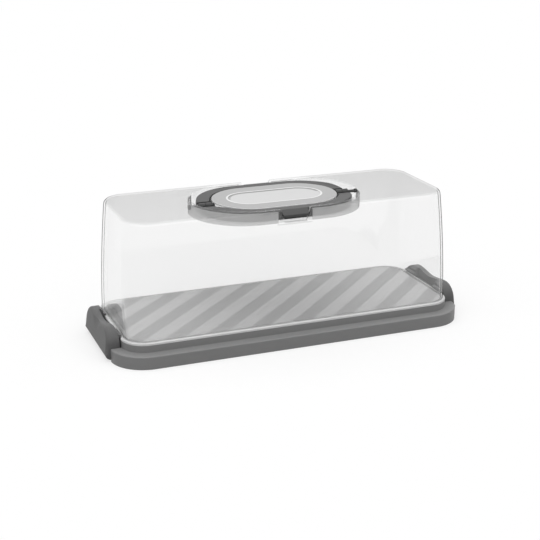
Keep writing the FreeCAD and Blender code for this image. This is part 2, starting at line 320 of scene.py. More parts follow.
def startSteps(name, inset, bottom, rounded):
    size = traySize
    steps = startPlate(name, size["length"] - 2 * inset, size["width"] - 2 * inset, size["corner"] - inset,
                       bottom, size["segments"])
    raiseSelected(size["skirt"] - inset - bottom)
    closeShape()
    topFaces(size["skirt"] - inset)
    bpy.ops.mesh.inset(thickness=size["ledge"] * mm, use_even_offset=True)
    raiseSelected(size["shoulder"] - size["skirt"])
    bpy.ops.mesh.inset(thickness=size["deckInset"] * mm, use_even_offset=True)
    raiseSelected(size["deck"] - size["shoulder"])
    if rounded:
        upperX = size["length"] / 2 - size["ledge"]
        upperY = size["width"] / 2 - size["ledge"]
        upperCorner, slack = size["corner"] - size["ledge"], size["cornerSlack"]
        deckX, deckY, deckCorner = [reach - size["deckInset"] for reach in (upperX, upperY, upperCorner)]
        levelEdges(size["deck"])
        roundSelected(size["deckRound"], 3)
        levelEdges(size["shoulder"], lambda p: not insideRound(p, deckX, deckY, deckCorner, slack))
        roundSelected(size["shoulderRound"], 2)
        levelEdges(size["skirt"], lambda p: not insideRound(p, upperX, upperY, upperCorner, slack))
        roundSelected(size["skirtRound"], 4)
    return steps


def insideRound(spot, halfX, halfY, corner, slack):
    # True within a rectangle with round corners, grown by the slack
    dx = max(abs(spot.x) - (halfX - corner), 0)
    dy = max(abs(spot.y) - (halfY - corner), 0)
    return math.hypot(dx, dy) < corner + slack


def endBox(name, side, start, half, bottom, top):
    low, high = sorted((side * start, side * (traySize["length"] / 2 + traySize["endPast"])))
    return startBox(name, (low, -half, bottom), (high, half, top))


def makeTray():
    size = traySize
    hollow = startSteps("trayHollow", size["wall"], size["hollowFoot"], False)
    for side in (1, -1):
        carve(hollow, endBox("lining", side, size["pocketStart"] - size["wall"],
                             size["pocketHalf"] + size["wall"], size["liningFoot"], size["cutTop"]))
    tray = startSteps("trayBody", 0, 0, True)
    carve(tray, hollow)
    reach = size["pocketHalf"] + size["wall"] + cutPast
    for side in (1, -1):
        carve(tray, endBox("pocket", side, size["pocketStart"], size["pocketHalf"],
                           size["pocketFoot"], size["cutTop"]))
        x = side * size["trunnionX"]
        carve(tray, startRod("bore", size["trunnionHole"], (x, -reach, size["trunnionZ"]),
                             (x, reach, size["trunnionZ"])))
    softenPiece(tray, size["edge"])
    return tray


tray = makeTray()
print("tray modelled,", len(tray.data.polygons), "faces")

# Cover: a leaning clear shell with a foot flange, the handle's moat and a finger notch front and back
coverSize = {"foot": (334.4, 123.4, 21.2), "footZ": 19.5, "top": 134.0, "lean": 5.0, "midLean": 1.4,
             "topCorner": 24.0, "wall": 2.0, "shellFoot": 20.4, "cavityFoot": 12.0,
             "levels": (36, 52, 68, 84, 98, 111, 122), "edgeRound": 4.0, "innerRound": 2.0,
             "flange": (339.0, 128.0, 23.5, 19.5, 21.5), "flangeRound": 0.8, "segments": 16,
             "moat": (84.5, 52.0), "moatFloor": 122.0, "moatWall": 2.0, "moatRim": 0.8,
             "plateau": (63.5, 39.5), "plateauTop": 130.6, "bridgeHalf": 17.5, "bridgeFoot": 118.5,
             "bridgeEnd": 75.0, "bridgeTop": 139.0, "bridgeLap": 0.5, "drumTop": 140.0, "hollowFoot": 110.0,
             "notchHalf": 11.5, "notchFlare": 4.0, "notchSill": 120.5, "notchEnd": 70.0,
             "pinZ": 128.6, "pinHole": 1.6, "pinBore": (59.0, 95.0), "pegX": 30.0, "pegHole": 2.6,
             "pegBore": (126.0, 133.0), "edge": 0.2}


def coverSection(height, inset):
    # The walls bulge: little lean up to half height, more above it
    size = coverSize
    rise = (height - size["footZ"]) / (size["top"] - size["footZ"])
    straight = 4 * size["midLean"] - size["lean"]
    lean = straight * rise + (size["lean"] - straight) * rise * rise
    length, width, corner = size["foot"]
    shrink = 2 * (lean + inset)
    corner += (size["topCorner"] - corner) * rise
    return length - shrink, width - shrink, corner - inset, height


def startNotch(side):
    size = coverSize
    half, top = size["notchHalf"], size["top"]
    low, high = sorted((side * size["notchEnd"], side * size["moat"][1]))
    notch = startBox("notch", (-half, low, size["notchSill"]), (half, high, top))
    pick("verts", lambda vert: place(vert).z > top - 1)
    bpy.ops.transform.resize(value=((half + size["notchFlare"]) / half, 1, 1))
    topFaces(top)
    raiseSelected(cutPast)
    return notch


def makeCover():
    size = coverSize
    moatX, moatY = size["moat"]
    drumX, drumY = moatX + size["moatWall"], moatY + size["moatWall"]
    ceiling = size["top"] - size["wall"]
    levels = (size["cavityFoot"], *size["levels"], ceiling)
    cavity = startTaper("coverCavity", [coverSection(z, size["wall"]) for z in levels], size["segments"])
    levelEdges(ceiling)
    roundSelected(size["innerRound"], 4)
    drum = startStadium("drum", drumX, drumY, size["moatFloor"] - size["moatWall"], size["drumTop"])
    for side in (1, -1):
        low, high = sorted((side * size["bridgeEnd"], side * (moatY + size["bridgeLap"])))
        weld(drum, startBox("bridge", (-size["bridgeHalf"], low, size["bridgeFoot"]),
                            (size["bridgeHalf"], high, size["bridgeTop"])))
    carve(cavity, drum)
    levels = (size["shellFoot"], *size["levels"], size["top"])
    cover = startTaper("coverShell", [coverSection(z, 0) for z in levels], size["segments"])
    levelEdges(size["top"])
    roundSelected(size["edgeRound"], 8)
    flange = startSlab("flange", *size["flange"], size["segments"])
    levelEdges(size["flange"][4])
    roundSelected(size["flangeRound"], 3)
    weld(cover, flange)
    carve(cover, cavity)
    well = startWell("well", moatX, moatY, size["moatFloor"], size["top"], size["moatRim"])
    carve(well, startStadium("island", *size["plateau"], size["hollowFoot"], size["plateauTop"]))
    carve(cover, well)
    hollowX, hollowY = [half - size["moatWall"] for half in size["plateau"]]
    carve(cover, startStadium("plateauHollow", hollowX, hollowY, size["hollowFoot"],
                              size["plateauTop"] - size["moatWall"]))
    for side in (1, -1):
        carve(cover, startNotch(side))
        pinEnds = [(side * end, 0, size["pinZ"]) for end in size["pinBore"]]
        carve(cover, startRod("pinBore", size["pinHole"], *pinEnds))
        pegEnds = [(side * size["pegX"], 0, end) for end in size["pegBore"]]
        carve(cover, startRod("pegBore", size["pegHole"], *pegEnds))
    softenPiece(cover, size["edge"])
    return cover


cover = makeCover()
print("cover modelled,", len(cover.data.polygons), "faces")

# Handle: each half a stadium band with a finger tab and two knuckles on the pins
handleSize = {"outer": (78.5, 51.0), "inner": (65.0, 40.5), "bottom": 122.4, "top": 130.0, "round": 1.4,
              "innerRound": 0.6, "segments": 32, "gapFoot": 115.0, "armEnd": 3.4, "reliefReach": 9.5,
              "reliefTop": 128.4, "reliefHalf": 90.0, "cutTop": 140.0, "pivotZ": 128.6, "barrel": 3.0,
              "bore": 1.7, "boreHalf": 95.0, "webTop": 128.4, "webFoot": 125.8, "webTrim": 0.02,
              "webLap": 0.4, "outerKnuckle": (71.95, 78.1), "innerKnuckle": (-71.55, -65.4),
              "tabRoot": -48.0, "tabTip": -57.5, "tabHalf": 12.2, "tabTopHalf": 13.5, "tabTipZ": 128.0,
              "tabFoot": 125.0, "tabSink": 0.05, "tabTipShare": 0.965, "tabTipRise": 0.6, "tabRound": 0.6,
              "lift": 1.8, "liftEnd": 25.0, "edge": 0.35}


def startTab():
    # Finger tab: a box whose top slopes down to the tip and whose sides flare like the notch
    size = handleSize
    top = size["top"] + size["lift"] - size["tabSink"]
    tab = startBox("tab", (-size["tabHalf"], size["tabTip"], size["tabFoot"]),
                   (size["tabHalf"], size["tabRoot"], top))
    sliceOff((0, -size["outer"][1], 0), (0, 1, 0), keep=True)
    upper = lambda vert: place(vert).z > size["tabFoot"] + 1
    atTip = lambda spot: spot.y < size["tabTip"] + 1
    pick("verts", upper)
    bpy.ops.transform.resize(value=(size["tabTopHalf"] / size["tabHalf"], 1, 1))
    pick("verts", lambda vert: upper(vert) and atTip(place(vert)))
    moveSelected(0, 0, size["tabTipZ"] - top)
    bpy.ops.transform.resize(value=(size["tabTipShare"], 1, 1))
    pick("verts", lambda vert: atTip(place(vert)) and not upper(vert))
    moveSelected(0, 0, size["tabTipRise"])
    levelEdges(size["tabTipZ"], atTip)
    roundSelected(size["tabRound"], 3)
    return tab


def startKnuckle(start, end):
    size = handleSize
    barrel = startRod("barrel", size["barrel"], (start, 0, size["pivotZ"]), (end, 0, size["pivotZ"]))
    weld(barrel, startBox("web", (start + size["webTrim"], -size["armEnd"] - size["webLap"], size["webFoot"]),
                          (end - size["webTrim"], 0, size["webTop"])))
    return barrel


def liftFront(half):
    # The top climbs gently away from the pins, so that the halves still clear each other when both stand up
    size = handleSize
    openEdit(half)
    spots = [place(vert) for vert in bmesh.from_edit_mesh(half.data).verts]
    upper = [spot for spot in spots if spot.z > size["pivotZ"] and -spot.y > size["reliefReach"]]
    for level in sorted({round(spot.y, 2) for spot in upper}):
        share = (-level - size["reliefReach"]) / (size["liftEnd"] - size["reliefReach"])
        pick("verts", lambda vert: place(vert).z > size["pivotZ"] and round(place(vert).y, 2) == level)
        moveSelected(0, 0, size["lift"] * min(share, 1.0))


def makeHandleHalf():
    size = handleSize
    half = startStadium("handleFront", *size["outer"], size["bottom"], size["top"], size["segments"])
    levelEdges(size["top"])
    roundSelected(size["round"], 4)
    carve(half, startWell("handleGap", *size["inner"], size["gapFoot"], size["top"], size["innerRound"],
                          size["segments"]))
    openEdit(half)
    sliceOff((0, -size["armEnd"], 0), (0, 1, 0))
    carve(half, startBox("relief", (-size["reliefHalf"], -size["reliefReach"], size["reliefTop"]),
                         (size["reliefHalf"], 0, size["cutTop"])))
    liftFront(half)
    weld(half, startTab(), startKnuckle(*size["outerKnuckle"]), startKnuckle(*size["innerKnuckle"]))
    boreEnds = [(side * size["boreHalf"], 0, size["pivotZ"]) for side in (-1, 1)]
    carve(half, startRod("pinWay", size["bore"], *boreEnds))
    softenPiece(half, size["edge"])
    return half


handleFront = makeHandleHalf()
handleRear = turnedCopy(handleFront, "handleRear")
print("handle modelled,", len(handleFront.data.polygons), "faces each half")

# Plate on the plateau: stadium with a shallow inset and two pegs
plateSize = {"outer": (63.0, 39.0), "bottom": 130.6, "top": 132.2, "round": 0.6, "inset": (47.0, 20.9),
             "insetFloor": 131.6, "insetRound": 0.25, "pegX": 30.0, "peg": 2.5, "pegFoot": 128.8,
             "pegLap": 0.3, "segments": 32, "edge": 0.12}


def makePlate():
    size = plateSize
    plate = startStadium("topPlate", *size["outer"], size["bottom"], size["top"], size["segments"])
    levelEdges(size["top"])
    roundSelected(size["round"], 4)
    carve(plate, startWell("inset", *size["inset"], size["insetFloor"], size["top"], size["insetRound"]))
    for side in (1, -1):
        x = side * size["pegX"]
        weld(plate, startRod("peg", size["peg"], (x, 0, size["pegFoot"]),
                             (x, 0, size["bottom"] + size["pegLap"])))
    softenPiece(plate, size["edge"])
    return plate


topPlate = makePlate()
print("plate modelled,", len(topPlate.data.polygons), "faces")

# Latches: a leaning block with round lobes, a dipped lip, finger room behind it and hooks over the flange
latchSize = {"back": 170.98, "face": 185.0, "foot": 1.5, "top": 30.0, "half": 42.0, "lean": 3.0,
             "leanFoot": 7.5, "lobe": 14.0, "dip": 3.0, "bevel": 3.0, "heel": 5.6, "toe": 6.0,
             "faceRound": 3.0, "dishRadius": 55.0, "dishDepth": 2.6, "dishHeight": 13.5, "lipBack": 175.0,
             "gripHalf": 21.0, "gripFloor": 18.5, "axisX": 177.0, "axisZ": 8.5, "wall": 3.0, "rib": 2.5,
             "pockets": 3, "hookTip": 168.2, "hookUnder": 22.3, "hookTop": 24.9, "hookEnd": 39.4,
             "trunnion": 1.6, "trunnionStart": 38.0, "trunnionEnd": 44.3, "edge": 0.25,
             "viewX": (130.0, 230.0), "viewFoot": -5.0, "lobeSegments": 14, "dipSteps": 16, "sideReach": 60.0,
             "dishReach": (60.0, 80.0), "dishSegments": 128, "cutStart": 160.0, "cutTop": 40.0,
             "rimAngle": 35.0, "faceSlack": 0.06}


def leanAt(height):
    size = latchSize
    return size["face"] - size["lean"] * (height - size["leanFoot"]) / (size["top"] - size["leanFoot"])


def startFrontView():
    # Seen from the end: round lobes, and between them cuts that are lowered one by one into a smooth dip
    size = latchSize
    start, end = size["viewX"]
    block = startBox("frontView", (start, -size["half"], size["viewFoot"]), (end, size["half"], size["top"]))
    levelEdges(size["top"], lambda spot: abs(spot.y) > size["half"] - 0.1)
    roundSelected(size["lobe"], size["lobeSegments"])
    reach = size["half"] - size["lobe"]
    steps = size["dipSteps"]
    cuts = [-reach + 2 * reach * step / steps for step in range(1, steps)]
    for y in cuts:
        sliceOff((0, y, 0), (0, 1, 0), keep=True)
    for y in cuts:
        pick("verts", lambda vert: abs(place(vert).y - y) < 0.1 and place(vert).z > size["top"] - 0.5)
        moveSelected(0, 0, -size["dip"] * 0.5 * (1 + math.cos(math.pi * y / reach)))
    return block


def startSideView():
    # Seen from the front: leaning outer face, round toe and heel, bevelled back
    size = latchSize
    top = size["top"] + 1
    back, face, foot, reach = size["back"], size["face"], size["foot"], size["sideReach"]
    block = startBox("latchRight", (back, -reach, foot), (face, reach, top))
    sliceOff((0, 0, size["leanFoot"]), (0, 0, 1), keep=True)
    pick("verts", lambda vert: place(vert).x > face - 5 and place(vert).z > size["top"])
    moveSelected(leanAt(top) - face, 0, 0)
    sliceOff((back + size["bevel"], 0, size["top"]), (-1, 0, 1))
    levelEdges(foot, lambda spot: spot.x < back + 0.1)
    roundSelected(size["heel"], 6)
    levelEdges(foot, lambda spot: spot.x > face - 0.1)
    roundSelected(size["toe"] - 0.05, 6)  # a hair short of the lean's start
    return block


def startDish():
    size = latchSize
    low = size["top"] - size["dishHeight"]
    lowSpot = Vector((leanAt(low), 0, low))
    highSpot = Vector((size["face"] - size["lean"] - size["dishDepth"], 0, size["top"]))
    along = (highSpot - lowSpot).normalized()
    side = Vector((along.z, 0, -along.x))
    middle = lowSpot + side * size["dishRadius"]
    below, above = size["dishReach"]
    return startRod("dish", size["dishRadius"], middle - along * below, middle + along * above,
                    size["dishSegments"])


def startHook(side):
    size = latchSize
    tip, under, top = size["hookTip"], size["hookUnder"], size["hookTop"]
    low, high = sorted((side * (size["gripHalf"] - 1), side * size["hookEnd"]))
    hook = startBox("hook", (tip, low, under), (size["back"] + 1, high, top))
    pick("verts", lambda vert: place(vert).x < tip + 0.1 and place(vert).z > top - 0.1)
    moveSelected(0, 0, -(top - under) / 2)
    return hook


def makeLatch():
    size = latchSize
    latch = startSideView()
    joinShape(latch, startFrontView(), "INTERSECT")
    openEdit(latch)
    bpy.ops.mesh.select_all(action="SELECT")
    bpy.ops.mesh.dissolve_limited(angle_limit=math.radians(0.5))

    def onFace(spot):
        return abs(spot.x - leanAt(spot.z)) < size["faceSlack"] and spot.z > size["leanFoot"] - 0.3

    def faceRim(edge):
        sharp = len(edge.link_faces) == 2 and edge.calc_face_angle(0) > math.radians(size["rimAngle"])
        return sharp and all(onFace(place(vert)) for vert in edge.verts)
    pick("edges", faceRim)
    roundSelected(size["faceRound"], 5)
    closeShape()
    for side in (1, -1):
        weld(latch, startHook(side))
    carve(latch, startDish())
    carve(latch, startBox("grip", (size["cutStart"], -size["gripHalf"], size["gripFloor"]),
                          (size["lipBack"], size["gripHalf"], size["cutTop"])))
    span = 2 * (size["half"] - size["wall"]) - (size["pockets"] - 1) * size["rib"]
    width = span / size["pockets"]
    for index in range(size["pockets"]):
        start = -size["half"] + size["wall"] + index * (width + size["rib"])
        carve(latch, startBox("mouldPocket", (size["cutStart"], start, size["axisZ"]),
                              (size["lipBack"], start + width, size["gripFloor"] - size["wall"])))
    for side in (1, -1):
        weld(latch, startRod("trunnion", size["trunnion"],
                             (size["axisX"], side * size["trunnionStart"], size["axisZ"]),
                             (size["axisX"], side * size["trunnionEnd"], size["axisZ"])))
    softenPiece(latch, size["edge"])
    return latch


latchRight = makeLatch()
latchLeft = turnedCopy(latchRight, "latchLeft")
print("latches modelled,", len(latchRight.data.polygons), "faces each")


# Shared effect: fine moulded grain with faint flow clouds, for every opaque plastic here
def makeMouldedGrain():
    group = bpy.data.node_groups.new("mouldedGrain", "ShaderNodeTree")
    sockets = [
        ("Colour", "INPUT", "NodeSocketColor"),
        ("Roughness", "INPUT", "NodeSocketFloat"),
        ("Grain Scale", "INPUT", "NodeSocketFloat"),
        ("Grain Depth", "INPUT", "NodeSocketFloat"),
        ("Cloud Share", "INPUT", "NodeSocketFloat"),
        ("Colour", "OUTPUT", "NodeSocketColor"),
        ("Roughness", "OUTPUT", "NodeSocketFloat"),
        ("Height", "OUTPUT", "NodeSocketFloat"),
    ]
    for name, side, kind in sockets:
        group.interface.new_socket(name, in_out=side, socket_type=kind)
    nodes, links = group.nodes, group.links
    given = addNode(nodes, "NodeGroupInput")
    result = addNode(nodes, "NodeGroupOutput")
    coords = addNode(nodes, "ShaderNodeTexCoord")
    clouds = addNode(nodes, "ShaderNodeTexNoise", {"Scale": 38.0, "Detail": 3.0, "Roughness": 0.55})
    grain = addNode(nodes, "ShaderNodeTexNoise", {"Detail": 2.0, "Roughness": 0.6})
    links.new(coords.outputs["Object"], clouds.inputs["Vector"])
    links.new(coords.outputs["Object"], grain.inputs["Vector"])
    links.new(given.outputs["Grain Scale"], grain.inputs["Scale"])
    centred = addNode(nodes, "ShaderNodeMath", {1: 0.5}, operation="SUBTRACT")
    links.new(clouds.outputs["Fac"], centred.inputs[0])
    swing = addNode(nodes, "ShaderNodeMath", operation="MULTIPLY")
    links.new(centred.outputs[0], swing.inputs[0])
    links.new(given.outputs["Cloud Share"], swing.inputs[1])
    level = addNode(nodes, "ShaderNodeMath", {1: 1.0}, operation="ADD")
    links.new(swing.outputs[0], level.inputs[0])
    tint = addNode(nodes, "ShaderNodeVectorMath", operation="SCALE")
    links.new(given.outputs["Colour"], tint.inputs[0])
    links.new(level.outputs[0], tint.inputs["Scale"])
    links.new(tint.outputs[0], result.inputs["Colour"])
    sheen = addNode(nodes, "ShaderNodeMath", operation="MULTIPLY_ADD")
    links.new(centred.outputs[0], sheen.inputs[0])
    links.new(given.outputs["Cloud Share"], sheen.inputs[1])
    links.new(given.outputs["Roughness"], sheen.inputs[2])
    links.new(sheen.outputs[0], result.inputs["Roughness"])
    height = addNode(nodes, "ShaderNodeMath", operation="MULTIPLY")
    links.new(grain.outputs["Fac"], height.inputs[0])
    links.new(given.outputs["Grain Depth"], height.inputs[1])
    links.new(height.outputs[0], result.inputs["Height"])
    return group


mouldedGrain = makeMouldedGrain()


def grainedPlastic(name, look):
    material, nodes, links = newMaterial(name)
    grain = addNode(nodes, "ShaderNodeGroup", node_tree=mouldedGrain)
    grain.inputs["Colour"].default_value = grey(look["grey"])
    grain.inputs["Roughness"].default_value = look["roughness"]
    grain.inputs["Grain Scale"].default_value = look["grainScale"]
    grain.inputs["Grain Depth"].default_value = look["grainDepth"]
    grain.inputs["Cloud Share"].default_value = look["cloudShare"]
    shader = addNode(nodes, "ShaderNodeBsdfPrincipled", {"IOR": 1.49, "Specular IOR Level": look["gloss"]})
    bump = addNode(nodes, "ShaderNodeBump", {"Strength": look["bump"], "Distance": 1.0})
    output = addNode(nodes, "ShaderNodeOutputMaterial")
    links.new(grain.outputs["Colour"], shader.inputs["Base Color"])
    links.new(grain.outputs["Roughness"], shader.inputs["Roughness"])
    links.new(grain.outputs["Height"], bump.inputs["Height"])
    links.new(bump.outputs["Normal"], shader.inputs["Normal"])
    links.new(shader.outputs[0], output.inputs["Surface"])
    return material, nodes, links, grain


def mathNode(nodes, links, operation, first, second=None, third=None):
    # One Math node; numbers go into its sockets, sockets are linked
    node = addNode(nodes, "ShaderNodeMath", operation=operation)
    for index, given in enumerate((first, second, third)):
        if isinstance(given, (int, float)):
            node.inputs[index].default_value = given
        elif given is not None:
            links.new(given, node.inputs[index])
    return node.outputs[0]


def softStep(nodes, links, value, start, end):
    node = addNode(nodes, "ShaderNodeMapRange", {"From Min": start, "From Max": end},
                   interpolation_type="SMOOTHSTEP")
    links.new(value, node.inputs["Value"])
    return node.outputs[0]


def objectXYZ(nodes, links):
    coords = addNode(nodes, "ShaderNodeTexCoord")
    split = addNode(nodes, "ShaderNodeSeparateXYZ")
    links.new(coords.outputs["Object"], split.inputs[0])
    return split.outputs


def stadiumRadius(nodes, links, x, y, straight):
    # Distance from the middle line of a stadium that runs along x
    past = mathNode(nodes, links, "SUBTRACT", mathNode(nodes, links, "ABSOLUTE", x), straight)
    past = mathNode(nodes, links, "MAXIMUM", past, 0.0)
    spread = mathNode(nodes, links, "MULTIPLY_ADD", past, past, mathNode(nodes, links, "MULTIPLY", y, y))
    return mathNode(nodes, links, "SQRT", spread)


def blendGrey(nodes, links, mask, low, high):
    mix = addNode(nodes, "ShaderNodeMix", data_type="RGBA")
    mix.inputs[6].default_value = grey(low)
    mix.inputs[7].default_value = grey(high)
    links.new(mask, mix.inputs[0])
    return mix.outputs[2]


def paintOver(nodes, links, colour, mask, shade):
    mix = addNode(nodes, "ShaderNodeMix", data_type="RGBA")
    mix.inputs[7].default_value = grey(shade)
    links.new(mask, mix.inputs[0])
    links.new(colour, mix.inputs[6])
    return mix.outputs[2]


handleLook = {"grey": 0.075, "roughness": 0.42, "grainScale": 2600.0, "grainDepth": 2e-5,
              "cloudShare": 0.06, "bump": 0.35, "gloss": 0.2}
latchLook = {"grey": 0.145, "roughness": 0.5, "grainScale": 2400.0, "grainDepth": 2e-5,
             "cloudShare": 0.06, "bump": 0.35, "gloss": 0.2}
handlePlastic = grainedPlastic("handlePlastic", handleLook)[0]
latchPlastic = grainedPlastic("latchPlastic", latchLook)[0]

# Tray plastic: satin grey, the deck with diagonal stripes that are glossy and matte by turns
trayLook = {"grey": 0.255, "roughness": 0.45, "grainScale": 2200.0, "grainDepth": 2e-5, "cloudShare": 0.05,
            "bump": 0.35, "gloss": 0.3, "deckZ": 0.0216, "stripePitch": 0.043, "stripeShift": 0.0397,
            "stripeSlope": 1.035, "stripeShare": 0.25, "stripeEdge": 0.012, "matteGrey": 0.43,
            "glossGrey": 0.55, "matteRoughness": 0.5, "glossRoughness": 0.22}


def makeTrayPlastic():
    look = trayLook
    material, nodes, links, grain = grainedPlastic("trayPlastic", look)
    x, y, z = objectXYZ(nodes, links)
    shifted = mathNode(nodes, links, "ADD", x, look["stripeShift"])
    across = mathNode(nodes, links, "MULTIPLY_ADD", y, -look["stripeSlope"], shifted)
    turns = mathNode(nodes, links, "MULTIPLY_ADD", across, 1 / look["stripePitch"], look["stripeShare"])
    spot = mathNode(nodes, links, "FRACT", turns)
    away = mathNode(nodes, links, "ABSOLUTE", mathNode(nodes, links, "SUBTRACT", spot, look["stripeShare"]))
    stripe = softStep(nodes, links, away, look["stripeShare"] + look["stripeEdge"],
                      look["stripeShare"] - look["stripeEdge"])
    deck = mathNode(nodes, links, "GREATER_THAN", z, look["deckZ"])
    deckGrey = blendGrey(nodes, links, stripe, look["matteGrey"], look["glossGrey"])
    mix = addNode(nodes, "ShaderNodeMix", data_type="RGBA")
    mix.inputs[6].default_value = grey(look["grey"])
    links.new(deck, mix.inputs[0])
    links.new(deckGrey, mix.inputs[7])
    links.new(mix.outputs[2], grain.inputs["Colour"])
    deckRough = addNode(nodes, "ShaderNodeMapRange", {"To Min": look["matteRoughness"],
                                                      "To Max": look["glossRoughness"]})
    links.new(stripe, deckRough.inputs["Value"])
    rough = addNode(nodes, "ShaderNodeMix", {2: look["roughness"]}, data_type="FLOAT")
    links.new(deck, rough.inputs[0])
    links.new(deckRough.outputs[0], rough.inputs[3])
    links.new(rough.outputs[0], grain.inputs["Roughness"])
    return material


trayPlastic = makeTrayPlastic()

# Plate plastic: light grey band, a paler inset with a painted highlight on its rim and painted shade on its
# back wall, a painted highlight on the outer edge
plateLook = {"grey": 0.43, "insetGrey": 0.66, "roughness": 0.4, "grainScale": 2600.0, "grainDepth": 1.5e-5,
             "cloudShare": 0.04, "bump": 0.3, "gloss": 0.4, "insetFade": (0.0212, 0.0208),
             "insetStraight": 0.0261, "paintedRimGrey": 0.85, "paintedRimFade": (0.0231, 0.0227), "paintedWallShadeGrey": 0.4,
             "paintedWallShadeFade": (0.0184, 0.0188), "paintedWallShadeBack": 0.004, "paintedEdgeGrey": 0.85, "paintedEdgeHalf": 0.0387,
             "plateStraight": 0.024}


def makePlatePlastic():
    look = plateLook
    material, nodes, links, grain = grainedPlastic("platePlastic", look)
    x, y = objectXYZ(nodes, links)[:2]
    radius = stadiumRadius(nodes, links, x, y, look["insetStraight"])
    inside = softStep(nodes, links, radius, *look["insetFade"])
    band = blendGrey(nodes, links, inside, look["grey"], look["insetGrey"])
    # Painted highlight: a pale ring just outside the inset's edge
    rim = softStep(nodes, links, radius, *look["paintedRimFade"])
    rim = mathNode(nodes, links, "SUBTRACT", rim, inside)
    # Painted shade: a dark ring just inside the inset's edge, on the back half only
    wall = softStep(nodes, links, radius, *look["paintedWallShadeFade"])
    wall = mathNode(nodes, links, "MULTIPLY", wall, inside)
    wall = mathNode(nodes, links, "MULTIPLY", wall, softStep(nodes, links, y, 0.0, look["paintedWallShadeBack"]))
    colour = paintOver(nodes, links, band, rim, look["paintedRimGrey"])
    colour = paintOver(nodes, links, colour, wall, look["paintedWallShadeGrey"])
    # Painted highlight: a pale band along the plate's outer edge
    outer = stadiumRadius(nodes, links, x, y, look["plateStraight"])
    edge = mathNode(nodes, links, "GREATER_THAN", outer, look["paintedEdgeHalf"])
    colour = paintOver(nodes, links, colour, edge, look["paintedEdgeGrey"])
    links.new(colour, grain.inputs["Colour"])
    return material


platePlastic = makePlatePlastic()

# Clear plastic of the cover: a thin clear sheet whose gloss grows towards grazing
# Painted reflection: the gloss colour is pale on upright walls and dimmer on level faces, standing in for a
# pale floor and a dim ceiling
# Painted dark outlines at the rounded corners stand in for refraction, the moat's wall is hazy from outside,
# the flange gets a pale painted highlight
coverLook = {"clear": 0.978, "paintedCeilingGloss": 0.5, "paintedFloorGloss": 0.97, "roughness": 0.03, "headOn": 0.04,
             "levelStart": 0.3, "levelEnd": 0.8, "steepness": 5.0, "paintedOutlineStart": 0.7, "paintedOutlineEnd": 0.84,
             "paintedEdgeGrey": 0.1, "paintedOutlineShare": 0.75, "cornerStart": 0.005, "cornerEnd": 0.06,
             "flangeZ": 0.0217, "hazeAndHighlightGrey": 0.88, "paintedFlangeShare": 0.72,
             "moatZ": 0.1195, "moatStraight": 0.0325, "moatStart": 0.053, "moatEnd": 0.0548,
             "moatClear": 0.134, "moatHazy": 0.1325, "moatShare": 0.64}


